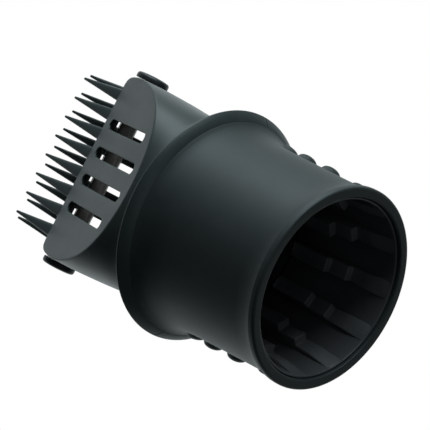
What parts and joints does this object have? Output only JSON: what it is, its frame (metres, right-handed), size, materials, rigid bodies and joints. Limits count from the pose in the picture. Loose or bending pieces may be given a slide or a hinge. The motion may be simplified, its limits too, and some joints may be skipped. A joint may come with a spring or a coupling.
{
  "type": "hair dryer comb nozzle",
  "caption": "Universal hair-dryer comb attachment: a stretch-fit rubber sleeve with grip domes, a slotted wedge nozzle, staggered comb rows and a turning mineral rod with end knobs.",
  "frame": {"origin": "centre of the sleeve's mouth rim, in the plane the object stands on", "axes": "+Z along the air path from the dryer towards the comb tips; X along the comb rows and the rod's axle; -Y towards the face with four slots and eight teeth"},
  "size_m": [0.0796, 0.0796, 0.1379],
  "materials": {
    "rubber": "matte moulded rubber",
    "liner": "matte moulded rubber",
    "nozzle": "satin dark grey heat-proof plastic",
    "knob": "satin black plastic",
    "mineral": "glossy brown mineral glaze",
    "steel": "plain steel",
    "gasket": "red-brown silicone",
    "bush": "off-white low-friction plastic"
  },
  "bodies": {
    "nozzle": {"rubber_sleeve": "rubber", "ribbed_liner": "liner", "clamp_collar": "nozzle", "inlet_gasket": "gasket", "front_shell": "nozzle", "back_shell": "nozzle", "bush_left": "bush", "bush_right": "bush", "washer_left": "steel", "washer_right": "steel", "collar_screw_1": "steel", "collar_screw_2": "steel", "collar_screw_3": "steel", "collar_screw_4": "steel", "shell_screw_left": "steel", "shell_screw_right": "steel"},
    "rod": {"mineral_tube": "mineral", "axle": "steel", "knob_left": "knob", "knob_right": "knob"}
  },
  "joints": [
    {"name": "rod_turn", "type": "hinge", "parent": "nozzle", "child": "rod", "pos_m": [0, 0, 0.10915], "axis": [1, 0, 0], "continuous": true}
  ]
}
